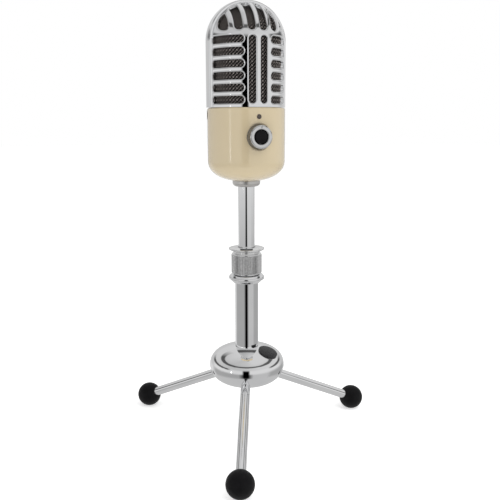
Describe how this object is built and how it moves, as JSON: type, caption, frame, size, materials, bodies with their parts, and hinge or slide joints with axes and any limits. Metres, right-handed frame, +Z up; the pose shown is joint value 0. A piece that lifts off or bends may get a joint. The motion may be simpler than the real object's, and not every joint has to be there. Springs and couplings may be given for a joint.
{
  "type": "desktop microphone",
  "caption": "Retro desktop microphone with a slotted chrome grille and cream body, on a clamped telescopic column and a ball-footed tripod.",
  "frame": {"origin": "where the column's axis meets the table that the feet stand on", "axes": "+Z up along the column, -Y the microphone's front, +X to the right as seen from the front"},
  "size_m": [0.1623, 0.1709, 0.2916],
  "materials": {
    "chrome": "mirror-bright chrome plate",
    "satin_metal": "satin nickel",
    "cream": "glossy moulded cream plastic",
    "rubber": "matte black rubber",
    "black_gloss": "glossy black plastic",
    "black_plastic": "matte black plastic",
    "badge": "plain dark badge",
    "mesh": "woven wire",
    "foam": "open-cell foam",
    "steel": "zinc-plated steel",
    "brass": "turned brass",
    "cast_iron": "cast weight",
    "nylon": "natural nylon",
    "board": "solder-masked board",
    "aluminium": "satin can",
    "lens": "smoky clear plastic",
    "soft_black": "soft silicone"
  },
  "bodies": {
    "tripod": {"leg_front": "chrome", "leg_right": "chrome", "leg_left": "chrome", "foot_front": "rubber", "foot_right": "rubber", "foot_left": "rubber", "hub_top_shell": "chrome", "hub_bowl": "chrome", "hub_core": "cast_iron", "leg_grub_screws": "steel", "bowl_screws": "steel", "hub_bolt": "steel", "hub_washer": "steel", "hub_badge": "badge", "lower_tube": "chrome", "lower_tube_plug": "steel", "clutch_seat": "chrome", "clutch_collet": "nylon"},
    "clutch_nut": {"clutch_collar": "chrome"},
    "glide": {"glide_ring": "nylon"},
    "microphone": {"upper_tube": "chrome", "tube_stud": "steel", "base_ring": "satin_metal", "stem_insert": "brass", "body_shell": "cream", "volume_control": "black_plastic", "mute_switch": "black_plastic", "control_board": "board", "board_header": "black_plastic", "main_board": "board", "headphone_jack": "black_plastic", "usb_socket": "steel", "usb_tongue": "black_plastic", "lamp": "lens", "lamp_lens": "lens", "board_standoffs": "brass", "bulkhead": "black_plastic", "bulkhead_screws": "steel", "grille_screws": "steel", "capsule": "aluminium", "capsule_cradle": "soft_black", "capsule_lead": "black_plastic", "mesh_basket": "mesh", "foam_liner": "foam", "front_grille": "chrome", "rear_grille": "chrome", "arch_band": "chrome"},
    "knob": {"volume_knob": "chrome", "knob_shaft": "steel"},
    "button": {"mute_button": "black_gloss", "switch_plunger": "black_plastic"}
  },
  "joints": [
    {"name": "clutch_turn", "type": "hinge", "parent": "tripod", "child": "clutch_nut", "pos_m": [0, 0, 0.12], "axis": [0, 0, 1], "range_deg": [0, 120]},
    {"name": "mast_slide", "type": "slide", "parent": "tripod", "child": "glide", "axis": [0, 0, 1], "range_m": [-0.038, 0.015]},
    {"name": "mast_turn", "type": "hinge", "parent": "glide", "child": "microphone", "pos_m": [0, 0, 0.15], "axis": [0, 0, 1], "continuous": true},
    {"name": "volume_turn", "type": "hinge", "parent": "microphone", "child": "knob", "pos_m": [0, -0.0275, 0.20635], "axis": [0, -1, 0], "range_deg": [-150, 150]},
    {"name": "mute_press", "type": "slide", "parent": "microphone", "child": "button", "axis": [0, 1, 0], "range_m": [0, 0.0008], "stiffness_N_per_m": 400, "springref_m": -0.0005}
  ]
}
